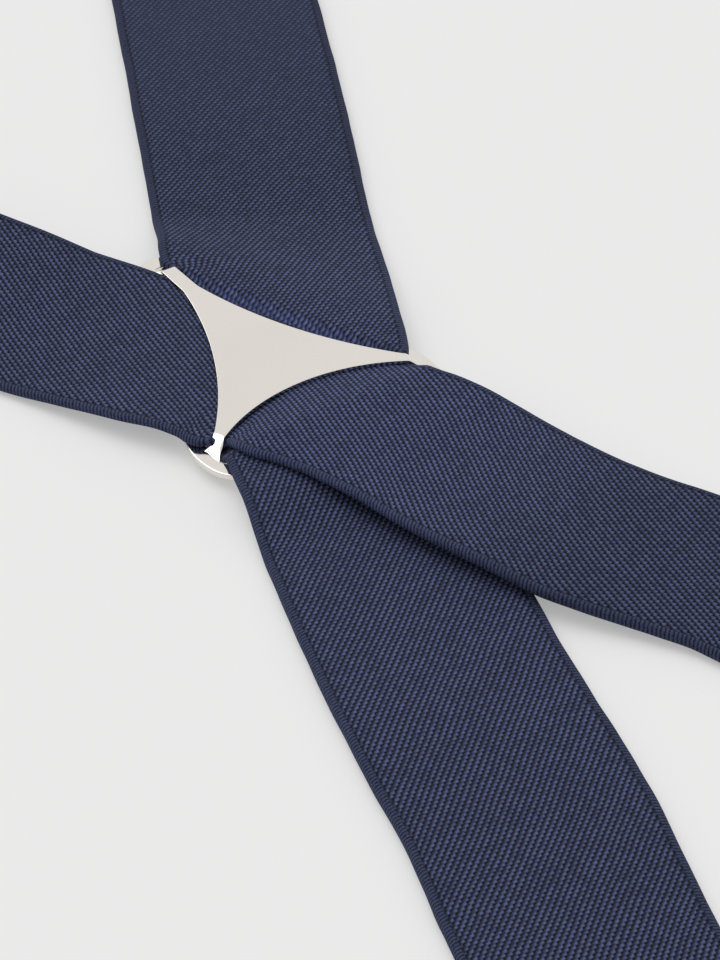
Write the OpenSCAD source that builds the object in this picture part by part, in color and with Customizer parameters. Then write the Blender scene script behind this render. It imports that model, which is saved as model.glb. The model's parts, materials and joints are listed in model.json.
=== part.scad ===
// Men's X-back suspenders: two elastic straps threaded through a polished
// three-slot crossing plate, with a lever adjuster and a lever clip at each
// front end and a lever clip at each back end.
// Laid flat, outer side up.  +Y towards the shoulders along the plate's
// symmetry axis, +X to the wearer's right, +Z away from the wearer.
// Origin: on the surface the suspenders lie on, below the plate's centre.

/* [Straps] */
// Width of the elastic strap
strap_w = 35; // [34:0.5:35.5]
// Thickness of the elastic strap
strap_t = 1.5; // [1.4:0.05:1.5]
// Straight length of a shoulder run before it bends
shoulder_straight = 160; // [140:5:180]
// Radius of the in-plane bend of a shoulder run
shoulder_bend_r = 400; // [350:10:450]
// Straight length of a front strap from the bend to the clip
front_len = 400; // [390:5:430]
// Length of a back strap from the fold line to the clip bar
back_len = 215; // [190:5:240]

/* [Crossing plate] */
// Thickness of the stamped sheet
plate_t = 1.0; // [0.9:0.05:1.0]
// Height of the rim's top face
rim_z = 2.4; // [2.4:0.05:2.5]
// Height of the raised centre's top face
centre_z = 3.9; // [3.9:0.05:4.1]
// Half the distance between the two lower arms
arm_x = 17.9; // [17.7:0.1:18.1]
// Distance from the centre to the upper arm
arm_top = 28.8; // [28.4:0.1:29.2]

/* [Adjusters] */
// Distance from the front bend to the adjuster
adj_pos = 190; // [185:1:200]
// Width between the adjuster's ears
adj_in = 38.4; // [38.2:0.1:39]

/* [Clips] */
// Width of the clip's strap slot
clip_slot_w = 38.8; // [38.4:0.1:39.2]
// Length of the clip from the bar to the jaw edge
clip_len = 45; // [44:0.5:46]

/* [Hidden] */
$fn = 96;
steel = [0.83, 0.81, 0.79];
navy = [0.16, 0.18, 0.27];
navy_dark = [0.12, 0.14, 0.22];
white_pl = [0.86, 0.86, 0.84];

// Plate construction: the chord of a shoulder side runs from the upper arm to
// a lower arm; d is measured outwards from it.
arm_y = -14.4;
V1 = [0, arm_top];
V2 = [arm_x, arm_y];
ch_len = norm(V2 - V1);
ch_u = (V2 - V1) / ch_len;
ch_n = [-ch_u[1], ch_u[0]];
ch_c = ch_n * V1;
ch_a = atan2(ch_u[1], ch_u[0]);
rim_out = 3.94;     // outer edge of a shoulder bar from its chord
rim_in = 0.9;       // inner edge of a shoulder bar from its chord
base_out = -24.8;   // outer edge of the third bar
base_in = -21.3;    // inner edge of the third bar
strap_mid_t = 1.2;  // strap pulled thin where it threads the plate
ang_sh = 63.2;      // heading of a shoulder run
ang_bk = 72.9;      // heading of a back run from the cross axis
sh_off = 5.08;      // offset of a shoulder run's centre line from the origin
bk_off = 3.70;      // offset of a back run's centre line from the origin
P_bar = [9.5, 7.5];                  // where the centre line crosses the bar
sh_fold_y = 48;                      // fold line of the shoulder runs
u_sh = [cos(ang_sh), sin(ang_sh)];
n_sh = [sin(ang_sh), -cos(ang_sh)];
fold_y = -36;                        // fold line of the back pair
u_bk = [-cos(ang_bk), -sin(ang_bk)];
n_bk = [sin(ang_bk), -cos(ang_bk)];
P_back = [(bk_off - (-n_bk[1]) * -fold_y * 1) / n_bk[0], fold_y];
turn = 90 - ang_sh;
P_arc0 = P_bar + shoulder_straight * u_sh;
P_arc1 = P_arc0 + shoulder_bend_r * [1 - sin(ang_sh), cos(ang_sh)];
front_z = 4.4;      // underside of the front strap over its tail
bar_r = 1.3;        // clip bar
bar_z = 2.95;
loop_in = 1.45;     // inner radius of the strap's turn around the bar
front_split = 90;   // where the front strap starts after the bend
pin_v = 40;         // clip hinge
pin_z = 5.6;

// intersection of two lines n . p = c
function isect(n1, c1, n2, c2) = let(k = n1[0] * n2[1] - n2[0] * n1[1])
  [(c1 * n2[1] - c2 * n1[1]) / k, (n1[0] * c2 - n2[0] * c1) / k];
nl = [-ch_n[0], ch_n[1]];
nb = [0, -1];

// triangle with rounded corners, edges at offset o from the shoulder chords
// and at y = base, radius ra at the apex and rb at the lower corners
module rtri(o, base, ra, rb) {
  ca = isect(ch_n, ch_c + o - ra, nl, ch_c + o - ra);
  cr = isect(ch_n, ch_c + o - rb, nb, -(base + rb));
  cl = [-cr[0], cr[1]];
  polygon([ca + ra * ch_n, cr + rb * ch_n, cr + rb * nb, cl + rb * nb, cl + rb * nl, ca + ra * nl]);
  translate(ca) circle(ra);
  translate(cr) circle(rb);
  translate(cl) circle(rb);
}

// circle that cuts a chord a-b to depth s, on the left side of a-b
module bite(a, b, s) {
  c = norm(b - a) / 2;
  r = (c * c + s * s) / (2 * s);
  u = (b - a) / norm(b - a);
  translate((a + b) / 2 + (r - s) * [u[1], -u[0]] * -1) circle(r, $fn = 180);
}

// concave-sided centre
module centre2d() {
  a = [0, 30.2]; b = [17.6, -15.9]; c = [-17.6, -15.9];
  difference() {
    polygon([a, b, c]);
    bite(a, b, 3.9);
    bite(c, a, 3.9);
    bite(b, c, 5.1);
  }
}

// one arm: flat at the centre's level, then down a slope to the rim
module arm(p, a, w, l0, l1) {
  translate([p[0], p[1], 0]) rotate([0, 0, a]) rotate([90, 0, 0])
    translate([0, 0, -w / 2]) linear_extrude(w)
      polygon([[-6, centre_z], [l0, centre_z], [l1, rim_z], [l1 + 1.6, rim_z], [l1 + 1.6, rim_z - plate_t],
        [l1 - 0.55, rim_z - plate_t], [l0 - 0.55, centre_z - plate_t], [-6, centre_z - plate_t]]);
}

module crossing_plate() {
  color(steel) {
    translate([0, 0, centre_z - plate_t]) linear_extrude(plate_t)
      intersection() { centre2d(); translate([0, 4.6]) square([34.4, 45.2], center = true); }
    translate([0, 0, rim_z - plate_t]) linear_extrude(plate_t)
      difference() {
        rtri(rim_out, base_out, 4.5, 9);
        rtri(rim_in, base_in, 1.4, 5);
      }
    arm([0, 26.4], 90, 2.4, -0.6, 1.9);
    arm([16.3, -14.6], -8, 2.6, -0.4, 2.2);
    arm([-16.3, -14.6], 188, 2.6, -0.4, 2.2);
  }
}

// cross-section swept along a shoulder bar; pts are [distance d, height]
module along_bar(pts) {
  translate([V1[0], V1[1], 0]) rotate([0, 0, ch_a]) rotate([90, 0, 90])
    translate([0, 0, -30]) linear_extrude(120) polygon(pts);
}
// cross-section swept across the plate; pts are [y, height]
module across(pts) {
  rotate([90, 0, 90]) translate([0, 0, -60]) linear_extrude(120) polygon(pts);
}
// plan of a shoulder strip: w wide, from s0 to s1 along the run
module plan_sh(w, s0, s1) {
  translate(P_bar) rotate(ang_sh - 90) translate([-w / 2, s0]) square([w, s1 - s0]);
}
module plan_bk(w, s0, s1) {
  translate([-0.56, arm_y]) rotate(ang_bk + 90) translate([-w / 2, s0]) square([w, s1 - s0]);
}

// threaded part of a strap over its shoulder bar; zl is its level under the centre
module mid_shoulder(zl, t, dl, ylow) {
  intersection() {
    along_bar([[-40, zl], [-40, zl + t], [dl, zl + t], [-0.5, 2.82], [0.5, rim_z + 0.1 + t], [4.3, rim_z + 0.1 + t],
      [9, 2.6], [14, strap_t], [60, strap_t], [60, 0], [13, 0], [4.6, rim_z + 0.1], [0.85, rim_z + 0.1], [-0.55, 1.56], [dl, zl]]);
    linear_extrude(10) intersection() {
      union() {
        plan_sh(32, -24, 70);
        intersection() { plan_sh(strap_w, 0, 70); translate(V1) rotate(ch_a) translate([-80, 7]) square([200, 80]); }
      }
      translate([-80, ylow]) square([160, sh_fold_y - 0.15 - ylow]);
    }
  }
}
// threaded part of a strap over the third bar
module mid_back(zl, t, zend) {
  intersection() {
    across([[-8, zl], [-16, zl], [-19.4, zl + 2.5], [-25.2, zl + 2.5], [-33, zend], [-40, zend], [-40, zend + strap_t],
      [-33, zend + strap_t], [-25, zl + 2.5 + t], [-19.3, zl + 2.5 + t], [-15.6, zl + t], [-8, zl + t]]);
    linear_extrude(12) difference() {
      plan_bk(30, -8, 30);
      translate([-60, fold_y + 0.15 - 60]) square([120, 60]);
    }
  }
}
// keeps a plan clear of the slot on the side of the other strap
module inside_chord(d, y1) {
  linear_extrude(12, center = true) union() {
    translate([-60, -80]) square([120, 80 + y1]);
    translate(V1) rotate(ch_a) translate([-60, -120 + d]) square([160, 120]);
  }
}

module right_strap_middle() {
  color(navy) union() {
    mid_shoulder(0, strap_mid_t, -4, -13.5);
    intersection() { mid_back(0, strap_mid_t, 0); inside_chord(-3.5, -13.8); }
  }
}
module left_strap_middle() {
  color(navy_dark) intersection() {
    union() {
      mirror([1, 0, 0]) mid_shoulder(1.4, strap_mid_t, -1.6, -13.5);
      mirror([1, 0, 0]) mid_back(1.42, strap_mid_t - 0.04, 1.6);
    }
    inside_chord(-4.4, -16.3);
  }
}

// shoulder run, flat on the surface
module shoulder_strap() {
  color(navy) linear_extrude(strap_t) {
    difference() {
      plan_sh(strap_w, 20, shoulder_straight + 0.01);
      translate([-20, -40]) square([120, 40 + sh_fold_y + 0.15]);
    }
    translate(P_arc0 + shoulder_bend_r * [-sin(ang_sh), cos(ang_sh)]) intersection() {
      difference() {
        circle(shoulder_bend_r + strap_w / 2, $fn = 360);
        circle(shoulder_bend_r - strap_w / 2, $fn = 360);
      }
      polygon([[0, 0], [1000 * sin(ang_sh), -1000 * cos(ang_sh)], [1000, -40], [1000, 0]]);
    }
    translate([P_arc1[0] - strap_w / 2, P_arc1[1] - 0.01]) square([strap_w, front_split + 0.01]);
  }
}
// solid as wide as the strap, cross-section pts are [distance v, height]
module ribbon(pts) {
  rotate([90, 0, 90]) translate([0, 0, -strap_w / 2]) linear_extrude(strap_w) polygon(pts);
}
// half turn around a bar at v, z; side +1 opens towards -v
module half_turn(v, z, ri, ro, side) {
  translate([-strap_w / 2, v, z]) rotate([90, 0, 90]) linear_extrude(strap_w) difference() {
    circle(ro);
    circle(ri);
    translate([side > 0 ? -20 : 0, -10]) square([20, 20]);
  }
}
module at_front() { translate([P_arc1[0], P_arc1[1], 0]) children(); }
module at_back() { translate([P_back[0], P_back[1], 0]) rotate([0, 0, ang_bk + 90]) children(); }

module front_strap() {
  a = front_split + 0.3; b = front_len - 8.3;
  color(navy) ribbon([[a, 0], [a, strap_t], [148, strap_t], [184, front_z + strap_t], [b, front_z + strap_t],
    [b, front_z], [185, front_z], [149, 0]]);
}
bar_v = adj_pos + 21;   // bar that holds the tail
module front_tail() {
  color(navy) ribbon([[bar_v + 18.3, 0], [bar_v + 18.3, strap_t], [front_len - 8.3, strap_t], [front_len - 8.3, 0]]);
}
module clip_loop(low) {
  color(navy) {
    half_turn(low, bar_z, loop_in, loop_in + strap_t, 1);
    ribbon([[low - 8, front_z], [low - 8, front_z + strap_t], [low, front_z + strap_t], [low, front_z]]);
    ribbon([[low - 8, 0], [low - 8, strap_t], [low, strap_t], [low, 0]]);
  }
}
module tail_hem() {
  color(navy) {
    half_turn(bar_v, 2.15, 0.65, 2.15, -1);
    ribbon([[bar_v, 0], [bar_v, strap_t], [bar_v + 18, strap_t], [bar_v + 18, 0]]);
    ribbon([[bar_v, 2.8], [bar_v, 4.3], [bar_v + 1.4, 4.3], [bar_v + 6.4, 3.1], [bar_v + 17, 3.1],
      [bar_v + 17, 1.6], [bar_v + 6, 1.6], [bar_v + 1.2, 2.8]]);
  }
}
// row of thread stitches lying across the strap
module stitch_row(v, z, n, w) {
  for (i = [0 : n - 1]) translate([-w / 2 + (i + 0.15) * w / n, v, z])
    rotate([0, 90, 0]) cylinder(r = 0.2, h = 0.7 * w / n, $fn = 16);
}
module tail_stitches() {
  color(navy_dark) { stitch_row(bar_v + 8.6, 3.32, 14, 31); stitch_row(bar_v + 14.6, 3.32, 14, 31); }
}

module adjuster_frame() {
  w = adj_in / 2;
  color(steel) translate([0, adj_pos, 0]) difference() {
    union() {
      translate([-w - 0.5, 0, 3.3]) cube([2 * w + 1, 17, 1]);
      for (s = [-1, 1]) translate([s * (w + 0.5) - 0.5, 0, 0]) rotate([90, 0, 90]) linear_extrude(1) {
        polygon([[0, 3.3], [0, 8], [1.4, 9.3], [4, 9.7], [7, 8.8], [10, 6.4], [21, 6.4], [23.2, 4.2], [23.2, 1.2], [21, 0.9], [17, 1.4], [14, 3.3]]);
      }
      translate([-w - 0.5, 21, 2.15]) rotate([0, 90, 0]) cylinder(r = 0.6, h = 2 * w + 1);
    }
    translate([-w - 3, 4, 8]) rotate([0, 90, 0]) cylinder(r = 0.85, h = 2 * w + 6);
  }
}
module adjuster_pin() {
  w = adj_in / 2 + 1;
  color(steel) translate([0, adj_pos + 4, 8]) rotate([0, 90, 0]) {
    translate([0, 0, -w - 0.1]) cylinder(r = 0.8, h = 2 * w + 0.2);
    translate([0, 0, w + 0.1]) cylinder(r = 1.3, h = 0.5);
    translate([0, 0, -w - 0.6]) cylinder(r = 1.3, h = 0.5);
  }
}
module adjuster_lever() {
  w = adj_in / 2 - 0.5;
  color(steel) translate([0, adj_pos, 0]) difference() {
    union() {
      translate([-w, 0, 0]) rotate([90, 0, 90]) linear_extrude(2 * w) union() {
        translate([4, 8]) circle(1.7);
        polygon([[4, 8.9], [4, 9.7], [24.4, 9.9], [25.8, 9.5], [25.8, 8.9]]);
        polygon([[3.2, 6.6], [4.8, 6.6], [4.2, 6.0], [3.8, 6.0]]);
      }
      translate([-w, 25.8, 9.2]) rotate([0, 90, 0]) cylinder(r = 0.7, h = 2 * w);
    }
    translate([-w - 1, 4, 8]) rotate([0, 90, 0]) cylinder(r = 0.86, h = 2 * w + 2);
    for (i = [-9 : 9]) translate([i * 1.9 - 0.3, 2.6, 5.9]) cube([0.6, 2.8, 0.45]);
    for (s = [-1, 1]) translate([s * (w + 0.1), 26.4, 0]) rotate([0, 0, 45]) cube([3, 3, 40], center = true);
  }
}

// lever clip, local: bar at v = 0, jaw towards +v
module clip_body() {
  w = clip_slot_w / 2;
  color(steel) difference() {
    union() {
      translate([0, 0, 0.2]) linear_extrude(1) difference() {
        union() {
          polygon([[-w - 2.4, 5.4], [w + 2.4, 5.4], [w + 2.4, 9], [13.5, 19.5], [13.5, clip_len - 1.5], [12, clip_len],
            [-12, clip_len], [-13.5, clip_len - 1.5], [-13.5, 19.5], [-w - 2.4, 9]]);
        }
        for (s = [-1, 1]) translate([s * 23.2, 19.6]) circle(9.2);
        translate([0, 22]) circle(4);
      }
      translate([-w - 1, 0, bar_z]) rotate([0, 90, 0]) cylinder(r = bar_r, h = 2 * w + 2);
      for (s = [-1, 1]) translate([s * (w + 1.2) - 1.2, 0, 0]) rotate([90, 0, 90]) linear_extrude(2.4)
        union() {
          polygon([[0, 1.65], [0, 4.25], [7.4, 1.2], [7.4, 0.2], [5, 0.2]]);
          translate([0, bar_z]) circle(bar_r);
        }
      for (s = [-1, 1]) translate([s * 13 - 0.5, 0, 0]) rotate([90, 0, 90]) linear_extrude(1)
        union() {
          polygon([[27, 0.6], [29, 4.4], [36.6, 7.6], [40, 8], [43, 6], [43, 0.6]]);
          translate([pin_v, pin_z]) circle(2.5);
        }
      translate([-12, clip_len - 0.9, 0.6]) cube([24, 0.9, 1.5]);
    }
    translate([-20, pin_v, pin_z]) rotate([0, 90, 0]) cylinder(r = 1.05, h = 40);
  }
}
module clip_pin() {
  color(steel) translate([0, pin_v, pin_z]) rotate([0, 90, 0]) {
    translate([0, 0, -13.6]) cylinder(r = 1, h = 27.2);
    for (s = [-1, 1]) translate([0, 0, s * 13.95 - 0.35]) cylinder(r = 1.9, h = 0.7);
  }
}
module clip_pad() {
  color(white_pl) difference() {
    translate([-11, 34.5, 1.25]) cube([22, 9, 1.35]);
    for (i = [0 : 4]) translate([-12, 35.6 + i * 1.7, 2.25]) rotate([45, 0, 0]) cube([24, 0.7, 0.7]);
  }
}
module clip_lever() {
  color(steel) difference() {
    union() {
      translate([0, 0, 8.3]) linear_extrude(0.9) union() {
        translate([0, 19]) circle(13.4);
        intersection() { translate([0, 22]) circle(15); translate([-14.4, 18]) square([28.8, 12]); }
        polygon([[-13.2, 22], [13.2, 22], [12.1, 30], [12.1, 41.2], [-12.1, 41.2], [-12.1, 30]]);
      }
      for (s = [-1, 1]) translate([s * 11.6 - 0.45, 0, 0]) rotate([90, 0, 90]) linear_extrude(0.9) union() {
        polygon([[33.4, 8.5], [36.6, 4.1], [40, 3.6], [41.2, 5.2], [41.2, 8.5]]);
        translate([pin_v, pin_z]) circle(2);
      }
    }
    translate([-16, pin_v, pin_z]) rotate([0, 90, 0]) cylinder(r = 1.06, h = 32);
  }
}
module clip_shoe() {
  color(white_pl) difference() {
    translate([-11, 37.3, 2.8]) cube([22, 2.9, 1.7]);
    for (i = [0 : 1]) translate([-12, 38.4 + i * 1.2, 2.5]) rotate([45, 0, 0]) cube([24, 0.5, 0.5]);
  }
}

// back strap with its free end folded under at the clip
module left_back_strap() {
  L = back_len;
  color(navy) difference() {
    at_back() ribbon([[-12, 0], [-12, strap_t], [L - 58, strap_t], [L - 44, 1.6 + strap_t], [L - 22, 1.6 + strap_t],
      [L - 9, front_z + strap_t], [L - 8.3, front_z + strap_t], [L - 8.3, front_z], [L - 9, front_z], [L - 22, 1.6], [L - 44, 1.6], [L - 58, 0]]);
    translate([-100, fold_y - 0.15, -1]) cube([200, 100, 20]);
  }
}
module right_back_strap() {
  L = back_len;
  color(navy) difference() {
    mirror([1, 0, 0]) at_back() ribbon([[-12, 1.6], [-12, 1.6 + strap_t], [36, 1.6 + strap_t], [54, strap_t], [L - 58, strap_t],
      [L - 44, 1.6 + strap_t], [L - 22, 1.6 + strap_t], [L - 9, front_z + strap_t], [L - 8.3, front_z + strap_t], [L - 8.3, front_z],
      [L - 9, front_z], [L - 22, 1.6], [L - 44, 1.6], [L - 58, 0], [54, 0], [36, 1.6]]);
    translate([-100, fold_y - 0.15, -1]) cube([200, 100, 20]);
  }
}
module back_loop() {
  L = back_len;
  color(navy) {
    half_turn(L, bar_z, loop_in, loop_in + strap_t, 1);
    ribbon([[L - 8, front_z], [L - 8, front_z + strap_t], [L, front_z + strap_t], [L, front_z]]);
    ribbon([[L - 42, 0], [L - 42, strap_t], [L, strap_t], [L, 0]]);
  }
}
module back_stitches() {
  color(navy_dark) for (v = [38, 26]) stitch_row(back_len - v, 3.32, 14, 31);
}
module at_back_clip() { at_back() translate([0, back_len, 0]) children(); }
module at_front_clip() { at_front() translate([0, front_len, 0]) children(); }

crossing_plate();
right_strap_middle();
left_strap_middle();
shoulder_strap();  // right_shoulder_strap
mirror([1, 0, 0]) shoulder_strap();  // left_shoulder_strap
at_front() front_strap();  // right_front_strap
mirror([1, 0, 0]) at_front() front_strap();  // left_front_strap
at_front() front_tail();  // right_front_tail
mirror([1, 0, 0]) at_front() front_tail();  // left_front_tail
at_front() clip_loop(front_len);  // right_front_clip_loop
mirror([1, 0, 0]) at_front() clip_loop(front_len);  // left_front_clip_loop
at_front() tail_hem();  // right_tail_hem
mirror([1, 0, 0]) at_front() tail_hem();  // left_tail_hem
at_front() tail_stitches();  // right_tail_stitches
mirror([1, 0, 0]) at_front() tail_stitches();  // left_tail_stitches
at_front() adjuster_frame();  // right_adjuster_frame
mirror([1, 0, 0]) at_front() adjuster_frame();  // left_adjuster_frame
at_front() adjuster_lever();  // right_adjuster_lever
mirror([1, 0, 0]) at_front() adjuster_lever();  // left_adjuster_lever
at_front() adjuster_pin();  // right_adjuster_pin
mirror([1, 0, 0]) at_front() adjuster_pin();  // left_adjuster_pin
right_back_strap();
left_back_strap();
mirror([1, 0, 0]) at_back() back_loop();  // right_back_loop
at_back() back_loop();  // left_back_loop
mirror([1, 0, 0]) at_back() back_stitches();  // right_back_stitches
at_back() back_stitches();  // left_back_stitches
at_front_clip() clip_body();  // right_front_clip_body
mirror([1, 0, 0]) at_front_clip() clip_body();  // left_front_clip_body
mirror([1, 0, 0]) at_back_clip() clip_body();  // right_back_clip_body
at_back_clip() clip_body();  // left_back_clip_body
at_front_clip() clip_lever();  // right_front_clip_lever
mirror([1, 0, 0]) at_front_clip() clip_lever();  // left_front_clip_lever
mirror([1, 0, 0]) at_back_clip() clip_lever();  // right_back_clip_lever
at_back_clip() clip_lever();  // left_back_clip_lever
at_front_clip() clip_pin();  // right_front_clip_pin
mirror([1, 0, 0]) at_front_clip() clip_pin();  // left_front_clip_pin
mirror([1, 0, 0]) at_back_clip() clip_pin();  // right_back_clip_pin
at_back_clip() clip_pin();  // left_back_clip_pin
at_front_clip() clip_pad();  // right_front_clip_pad
mirror([1, 0, 0]) at_front_clip() clip_pad();  // left_front_clip_pad
mirror([1, 0, 0]) at_back_clip() clip_pad();  // right_back_clip_pad
at_back_clip() clip_pad();  // left_back_clip_pad
at_front_clip() clip_shoe();  // right_front_clip_shoe
mirror([1, 0, 0]) at_front_clip() clip_shoe();  // left_front_clip_shoe
mirror([1, 0, 0]) at_back_clip() clip_shoe();  // right_back_clip_shoe
at_back_clip() clip_shoe();  // left_back_clip_shoe
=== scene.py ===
import bpy, bmesh, json, math
import numpy as np
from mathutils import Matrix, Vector
from mathutils.geometry import delaunay_2d_cdt

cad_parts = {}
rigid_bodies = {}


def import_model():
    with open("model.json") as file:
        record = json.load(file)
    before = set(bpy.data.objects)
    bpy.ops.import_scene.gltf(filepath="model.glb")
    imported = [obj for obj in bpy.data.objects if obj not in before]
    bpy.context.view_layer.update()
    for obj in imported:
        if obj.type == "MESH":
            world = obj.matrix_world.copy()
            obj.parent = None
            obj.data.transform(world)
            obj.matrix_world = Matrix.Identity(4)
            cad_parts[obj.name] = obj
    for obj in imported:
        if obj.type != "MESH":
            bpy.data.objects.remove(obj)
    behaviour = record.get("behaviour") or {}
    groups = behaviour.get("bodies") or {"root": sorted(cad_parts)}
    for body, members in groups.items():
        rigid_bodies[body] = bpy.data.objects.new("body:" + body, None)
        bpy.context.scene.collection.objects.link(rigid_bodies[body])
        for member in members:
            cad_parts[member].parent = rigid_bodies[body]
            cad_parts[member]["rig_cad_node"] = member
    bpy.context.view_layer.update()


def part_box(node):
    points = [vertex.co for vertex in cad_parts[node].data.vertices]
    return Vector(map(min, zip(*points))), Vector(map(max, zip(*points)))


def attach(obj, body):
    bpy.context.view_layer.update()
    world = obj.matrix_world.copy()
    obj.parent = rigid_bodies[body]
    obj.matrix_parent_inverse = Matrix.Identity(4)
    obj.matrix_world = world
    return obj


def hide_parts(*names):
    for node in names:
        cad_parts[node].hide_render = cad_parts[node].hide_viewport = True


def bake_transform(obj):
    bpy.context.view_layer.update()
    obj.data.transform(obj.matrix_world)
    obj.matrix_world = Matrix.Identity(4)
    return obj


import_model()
SC = bpy.context.scene
NODE = {o["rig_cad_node"]: o for o in bpy.data.objects if "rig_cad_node" in o}


# ------------------------------------------------------------------ helpers
def lin(*c):
    """sRGB 0-255 to linear RGBA."""
    out = []
    for v in c:
        v /= 255.0
        out.append(v / 12.92 if v <= 0.04045 else ((v + 0.055) / 1.055) ** 2.4)
    return (*out, 1.0)


def sstep(x, a, b):
    t = np.clip((np.asarray(x, float) - a) / (b - a), 0, 1)
    return t * t * (3 - 2 * t)


def pchip(x, pts):
    """monotone cubic through pts [(x, y), ...], flat beyond the ends."""
    p = np.array(sorted(pts), float)
    xp, yp = p[:, 0], p[:, 1]
    h = np.diff(xp)
    d = np.diff(yp) / h
    m = np.zeros(len(xp))
    for i in range(1, len(xp) - 1):
        if d[i - 1] * d[i] > 0:
            w1, w2 = 2 * h[i] + h[i - 1], h[i] + 2 * h[i - 1]
            m[i] = (w1 + w2) / (w1 / d[i - 1] + w2 / d[i])
    x = np.clip(np.asarray(x, float), xp[0], xp[-1])
    k = np.clip(np.searchsorted(xp, x, side="right") - 1, 0, len(h) - 1)
    s = (x - xp[k]) / h[k]
    return (yp[k] * (1 + 2 * s) * (1 - s) ** 2 + m[k] * h[k] * s * (1 - s) ** 2
            + yp[k + 1] * s * s * (3 - 2 * s) + m[k + 1] * h[k] * s * s * (s - 1))


def wob(x, seed, amp, wave):
    """small smooth irregularity along a length, always the same."""
    r = np.random.RandomState(seed)
    out = np.zeros_like(np.asarray(x, float))
    for k in range(6):
        out += r.uniform(0.4, 1) * np.sin(2 * np.pi * np.asarray(x) / (wave * r.uniform(0.5, 2.2)) + r.uniform(0, 6.28))
    return out * amp / 2.2


def new_obj(name, verts, faces, smooth=True, angle=None):
    me = bpy.data.meshes.new(name)
    me.from_pydata([tuple(v) for v in verts], [], [tuple(f) for f in faces])
    me.update()
    if smooth:
        me.polygons.foreach_set("use_smooth", [True] * len(me.polygons))
        if angle:
            me.set_sharp_from_angle(angle=math.radians(angle))
    ob = bpy.data.objects.new(name, me)
    SC.collection.objects.link(ob)
    return ob


# ---------------------------------------------------------------- node graphs
class G:
    """short way to wire maths and textures."""

    def __init__(self, name):
        self.m = bpy.data.materials.new(name)
        self.m.use_nodes = True
        self.t = self.m.node_tree
        self.b = self.t.nodes["Principled BSDF"]

    def n(self, kind, **kw):
        x = self.t.nodes.new(kind)
        for k, v in kw.items():
            setattr(x, k, v)
        return x

    def put(self, sock, v):
        if isinstance(v, bpy.types.NodeSocket):
            self.t.links.new(v, sock)
        else:
            sock.default_value = v

    def f(self, op, a, b=None, c=None, clamp=False):
        x = self.n("ShaderNodeMath", operation=op, use_clamp=clamp)
        for s, v in zip(x.inputs, (a, b, c)):
            if v is not None:
                self.put(s, v)
        return x.outputs[0]

    def add(self, a, b): return self.f("ADD", a, b)
    def sub(self, a, b): return self.f("SUBTRACT", a, b)
    def mul(self, a, b): return self.f("MULTIPLY", a, b)
    def cos(self, a): return self.f("COSINE", self.f("MULTIPLY", a, 2 * math.pi))

    def ss(self, v, a, b, lo=0.0, hi=1.0):
        x = self.n("ShaderNodeMapRange", interpolation_type="SMOOTHSTEP")
        for s, q in zip(x.inputs, (v, a, b, lo, hi)):
            self.put(s, q)
        return x.outputs[0]

    def mixf(self, f, a, b):
        x = self.n("ShaderNodeMix", data_type="FLOAT")
        self.put(x.inputs[0], f); self.put(x.inputs[2], a); self.put(x.inputs[3], b)
        return x.outputs[0]

    def mixc(self, f, a, b, mode="MIX"):
        x = self.n("ShaderNodeMix", data_type="RGBA", blend_type=mode)
        self.put(x.inputs[0], f); self.put(x.inputs[6], a); self.put(x.inputs[7], b)
        return x.outputs[2]

    def xyz(self, x, y, z=0.0):
        c = self.n("ShaderNodeCombineXYZ")
        for s, v in zip(c.inputs, (x, y, z)):
            self.put(s, v)
        return c.outputs[0]

    def noise(self, vec, scale, detail=2.0, rough=0.5, dist=0.0):
        x = self.n("ShaderNodeTexNoise")
        self.put(x.inputs["Vector"], vec)
        x.inputs["Scale"].default_value = scale
        x.inputs["Detail"].default_value = detail
        x.inputs["Roughness"].default_value = rough
        x.inputs["Distortion"].default_value = dist
        return x.outputs[0]

    def bump(self, h, dist, strength=1.0, normal=None):
        x = self.n("ShaderNodeBump")
        x.inputs["Strength"].default_value = strength
        x.inputs["Distance"].default_value = dist
        self.put(x.inputs["Height"], h)
        if normal is not None:
            self.put(x.inputs["Normal"], normal)
        return x.outputs[0]

    def set(self, **kw):
        for k, v in kw.items():
            self.put(self.b.inputs[k.replace("_", " ")], v)


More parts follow.
